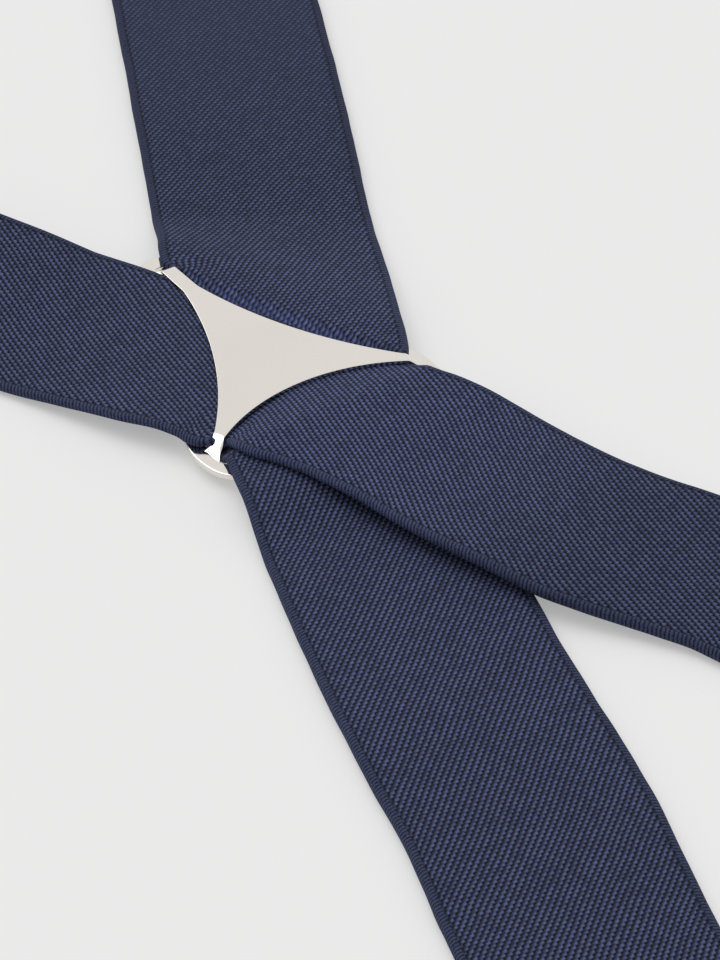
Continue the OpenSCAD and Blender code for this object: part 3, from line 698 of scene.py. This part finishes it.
def rim_mesh(verts, faces, z0=1.40, z1=2.42, r=0.27):
    O = rtri(3.94, -24.8, 4.5, 9.0); O[:, 0] = np.sign(O[:, 0]) * (np.abs(O[:, 0]) - 0.35 * np.clip(np.abs(O[:, 0]) - 20.6, 0, 2))
    for _ in range(4):
        O = 0.5 * O + 0.25 * (np.roll(O, 1, 0) + np.roll(O, -1, 0))
    I = rtri(0.9, -21.3, 1.4, 5.0)
    for A in (O, I):
        A[:, 0] -= 0.55 * sstep(-A[:, 1], -4, 10)
    n = len(O)
    d = I - O
    wd = np.linalg.norm(d, axis=1)[:, None]
    d /= wd
    prof = []
    K = 5
    for k in range(K + 1):       # outer edge, from the bottom up
        a = -math.pi / 2 + math.pi / 2 * k / K
        prof.append((0, r * (1 - math.cos(a)), z0 + r + r * math.sin(a)))
    for k in range(K + 1):
        a = math.pi / 2 * k / K
        prof.append((0, r * (1 - math.cos(a)), z1 - r + r * math.sin(a)))
    prof.append((2, 0.5, z1 + 0.015))
    for k in range(K + 1):
        a = math.pi / 2 - math.pi / 2 * k / K
        prof.append((1, r * (1 - math.cos(a)), z1 - r + r * math.sin(a)))
    for k in range(K + 1):
        a = -math.pi / 2 * k / K
        prof.append((1, r * (1 - math.cos(a)), z0 + r + r * math.sin(a)))
    base = len(verts); M = len(prof)
    for i in range(n):
        for kind, q, z in prof:
            if kind == 0: p = O[i] + d[i] * q
            elif kind == 1: p = I[i] - d[i] * q
            else: p = O[i] + d[i] * wd[i] * q
            verts.append((p[0] * 0.001, p[1] * 0.001, z * 0.001))
    for i in range(n):
        j = (i + 1) % n
        for k in range(M):
            l = (k + 1) % M
            faces.append((base + i * M + k, base + j * M + k, base + j * M + l, base + i * M + l))


def bite_arc(a, b, s, n=90):
    ctr, R = circle(a, b, s)
    a, b = np.array(a, float), np.array(b, float)
    a0 = math.atan2(*(a - ctr)[::-1]); a1 = math.atan2(*(b - ctr)[::-1])
    dlt = (a1 - a0 + math.pi) % (2 * math.pi) - math.pi
    return [ctr + R * np.array([math.cos(a0 + dlt * k), math.sin(a0 + dlt * k)]) for k in np.linspace(0, 1, n)]


def dirv(a):
    return np.array([math.cos(math.radians(a)), math.sin(math.radians(a))])


# arms: foot, direction, half width at the centre, where the slope starts and ends, end
ARMS = [(np.array([0.0, 26.4]), dirv(90), 1.2, -0.4, 2.2, 4.0),
        (np.array([17.4, -14.95]), dirv(-18), 1.02, -0.3, 2.2, 3.3),
        (np.array([-17.4, -14.95]), dirv(198), 1.02, -0.3, 2.2, 3.3)]


def bridge_outline():
    """right half of the raised centre with its arms, then mirrored; clockwise from the top."""
    p0, d0, w0, _, _, e0 = ARMS[0]
    p1, d1, w1, _, _, e1 = ARMS[1]
    n1 = np.array([-d1[1], d1[0]])
    half = [np.array([0.0, p0[1] + e0]), np.array([w0 + 0.8, p0[1] + e0]), np.array([w0 + 0.5, p0[1] + e0 - 0.8]), np.array([w0 + 0.1, p0[1] + e0 - 1.9]), np.array([w0, p0[1] + e0 - 3.0])]
    half += [q for q in bite_arc(*SIDE_BITE) if q[0] > w0 and (q - p1) @ d1 < -0.4 and q[1] < 27.5]
    for l, w in ((0.6, w1 + 0.05), (1.4, w1 + 0.2), (2.2, w1 + 0.6), (2.8, w1 + 1.1), (e1, w1 + 1.4)):
        half.append(p1 + d1 * l + n1 * w)
    for l, w in ((e1, w1 + 1.4), (2.8, w1 + 1.1), (2.2, w1 + 0.6), (1.4, w1 + 0.2), (0.6, w1 + 0.05)):
        half.append(p1 + d1 * l - n1 * w)
    half += [q for q in bite_arc(*BASE_BITE) if q[0] >= -1e-6 and (q - p1) @ d1 < 0.1]
    left = [np.array([-q[0], q[1]]) for q in half[::-1] if q[0] > 1e-6]
    P = np.array(half + left)
    P = P[np.concatenate([[True], np.linalg.norm(np.diff(P, axis=0), axis=1) > 1e-4])]
    Q = np.vstack([P, P[:1]])
    s = np.concatenate([[0], np.cumsum(np.linalg.norm(np.diff(Q, axis=0), axis=1))])
    n = int(s[-1] / 0.22)
    u = np.linspace(0, s[-1], n, endpoint=False)
    R = np.stack([np.interp(u, s, Q[:, 0]), np.interp(u, s, Q[:, 1])], 1)
    for _ in range(5):
        R = 0.5 * R + 0.25 * (np.roll(R, 1, 0) + np.roll(R, -1, 0))
    return R


def bridge_mesh(verts, faces, ztop=3.90, t=0.62, r=0.055):
    R = bridge_outline()
    n = len(R)
    area = 0.5 * np.sum(R[:, 0] * np.roll(R[:, 1], -1) - np.roll(R[:, 0], -1) * R[:, 1])
    if area < 0:
        R = R[::-1].copy()
    tg = np.roll(R, -1, 0) - np.roll(R, 1, 0)
    tg /= np.linalg.norm(tg, axis=1)[:, None]
    inw = np.stack([-tg[:, 1], tg[:, 0]], 1)

    def drop(p):
        out = 0.0
        for c, d, w, l0, l1, e in ARMS:
            l = (p - c) @ d; q = abs((p - c) @ np.array([-d[1], d[0]]))
            if q < 5.0 and l > l0 - 0.01:
                k = min(max((l - l0) / (l1 - l0), 0), 1)
                out = max(out, 1.47 * (0.35 * k * k * (3 - 2 * k) + 0.65 * k) + 0.45 * min(max((l - l1 - 0.25) / 1.0, 0), 1))
        return out
    inner = R + inw * r
    xs = np.arange(-20, 20.01, 0.55); ys = np.arange(-17.5, 30.3, 0.55)
    def inside(P, poly):
        x, y = P[:, 0][:, None], P[:, 1][:, None]
        x0, y0 = poly[:, 0][None], poly[:, 1][None]; x1, y1 = np.roll(poly[:, 0], -1)[None], np.roll(poly[:, 1], -1)[None]
        c = ((y0 > y) != (y1 > y)) & (x < (x1 - x0) * (y - y0) / np.where(np.abs(y1 - y0) < 1e-12, 1e-12, y1 - y0) + x0)
        return c.sum(1) % 2 == 1
    gx, gy = np.meshgrid(xs, ys); Gp = np.stack([gx.ravel(), gy.ravel()], 1)
    Gp = Gp[inside(Gp, inner)]
    dist = np.sqrt(((Gp[:, None] - inner[None]) ** 2).sum(2)).min(1)
    Gp = Gp[dist > 0.3]
    pts = [Vector(p) for p in inner] + [Vector(p) for p in Gp]
    vs, es, fs, *_ = delaunay_2d_cdt(pts, [], [list(range(n))], 1, 1e-5)
    vs = np.array([tuple(v) for v in vs])
    dI = np.sqrt(((vs[:, None] - inner[None]) ** 2).sum(2)).min(1)
    for top in (True, False):
        base = len(verts)
        for p, q in zip(vs, dI):
            dz = drop(p)
            pil = 0.0
            z = (ztop - dz + (pil if top else 0)) if top else (ztop - t - dz)
            verts.append((p[0] * 0.001, p[1] * 0.001, z * 0.001))
        for f in fs:
            f = [base + i for i in f]
            faces.append(tuple(f if top else f[::-1]))
        if top:
            bt = base
        else:
            bb = base
    # map the inner outline to the triangulation's own points
    idx = [int(np.argmin(((vs - p) ** 2).sum(1))) for p in inner]
    K = 5
    rows = [[bt + i for i in idx]]
    for k in range(1, K + 1):
        a = math.pi / 2 * (1 - k / K)
        base = len(verts)
        for p, w in zip(R, inw):
            q = p + w * r * (1 - math.cos(a)); dz = drop(p + w * r)
            verts.append((q[0] * 0.001, q[1] * 0.001, (ztop - dz - r + r * math.sin(a)) * 0.001))
        rows.append(list(range(base, base + n)))
    for k in range(K):
        a = math.pi / 2 * (k / K)
        base = len(verts)
        for p, w in zip(R, inw):
            q = p + w * r * (1 - math.cos(a)); dz = drop(p + w * r)
            verts.append((q[0] * 0.001, q[1] * 0.001, (ztop - t - dz + r - r * math.sin(a)) * 0.001))
        rows.append(list(range(base, base + n)))
    rows.append([bb + i for i in idx])
    for ra, rb in zip(rows[:-1], rows[1:]):
        for i in range(n):
            j = (i + 1) % n
            faces.append((ra[i], rb[i], rb[j], ra[j]))


pv, pf = [], []
rim_mesh(pv, pf)
bridge_mesh(pv, pf)
plate = new_obj("crossing_plate_polished", pv, pf, True)
bm = bmesh.new(); bm.from_mesh(plate.data)
bmesh.ops.recalc_face_normals(bm, faces=bm.faces[:])
bm.to_mesh(plate.data); bm.free()
wn = plate.modifiers.new("weighted", "WEIGHTED_NORMAL"); wn.weight = 100; wn.mode = "FACE_AREA"
plate.data.materials.append(POLISH)
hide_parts("crossing_plate"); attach(plate, "root")

# ------------------------------------------------------ carried-over CAD nodes
for nm, ob in NODE.items():
    if ob.hide_render:
        continue
    mat = PLAST if nm.endswith(("_pad", "_shoe")) else STEEL
    for s in ob.material_slots:
        s.link = "OBJECT"
        s.material = mat
    if not ob.material_slots:
        ob.data.materials.append(mat)

# --------------------------------------------------------------- floor, light
fl = new_obj("floor", [(-6, -6, 0), (6, -6, 0), (6, 6, 0), (-6, 6, 0)], [(0, 1, 2, 3)], False)
fl.location.z = -0.0002
g = G("pale_floor")
ob_ = g.n("ShaderNodeTexCoord").outputs["Object"]
nz = g.noise(ob_, 6.0, 3.0)
g.set(Base_Color=g.mixc(nz, (0.472, 0.4735, 0.475, 1), (0.482, 0.4835, 0.485, 1)), Roughness=0.9)
g.b.inputs["Specular IOR Level"].default_value = 0.0
g.b.inputs["Emission Color"].default_value = (1, 1, 1, 1)
g.b.inputs["Emission Strength"].default_value = 0.337
fl.data.materials.append(g.m)

wd = bpy.data.worlds.new("studio"); SC.world = wd; wd.use_nodes = True
wt = wd.node_tree; bg = wt.nodes["Background"]
tc = wt.nodes.new("ShaderNodeTexCoord"); sx = wt.nodes.new("ShaderNodeSeparateXYZ")
wt.links.new(tc.outputs["Generated"], sx.inputs[0])
mr = wt.nodes.new("ShaderNodeMapRange"); mr.interpolation_type = "SMOOTHSTEP"
dt_ = wt.nodes.new("ShaderNodeVectorMath"); dt_.operation = "DOT_PRODUCT"
wt.links.new(tc.outputs["Generated"], dt_.inputs[0])
dt_.inputs[1].default_value = (0.573, 0.819, 0.0)
wt.links.new(dt_.outputs["Value"], mr.inputs[0])
mr.inputs[1].default_value = -1.0; mr.inputs[2].default_value = 1.0
mr.inputs[3].default_value = 0.66; mr.inputs[4].default_value = 0.865
wt.links.new(mr.outputs[0], bg.inputs["Strength"])
bg.inputs["Color"].default_value = (1.0, 0.995, 0.985, 1)


def sun(name, d, power, angle, color=(1, 1, 1)):
    l = bpy.data.lights.new(name, "SUN"); l.energy = power; l.angle = math.radians(angle); l.color = color
    o = bpy.data.objects.new(name, l); SC.collection.objects.link(o)
    o.rotation_euler = Vector(d).to_track_quat("Z", "Y").to_euler()
    return o


IL, IU = np.array([-0.819, 0.573, 0]), np.array([0.573, 0.819, 0])
sun("key", IL * 0.55 + IU * 0.55 + np.array([0, 0, 1.0]), 1.04, 52)

SC.view_settings.view_transform = "Standard"
SC.view_settings.look = "None"

# -------------------------------------------------------------------- camera
cam = bpy.data.cameras.new("camera")
cam.sensor_fit = "VERTICAL"; cam.sensor_height = 36.0; cam.sensor_width = 27.0
cam.lens = 4390 * 36.0 / 960.0
cam.clip_start = 0.01; cam.clip_end = 50
co = bpy.data.objects.new("camera", cam); SC.collection.objects.link(co)
co.location = (-0.2977, -0.45217, 0.40141)
co.rotation_euler = (Vector((-0.003293, -0.031105, 0)) - co.location).to_track_quat("-Z", "Y").to_euler()
SC.camera = co
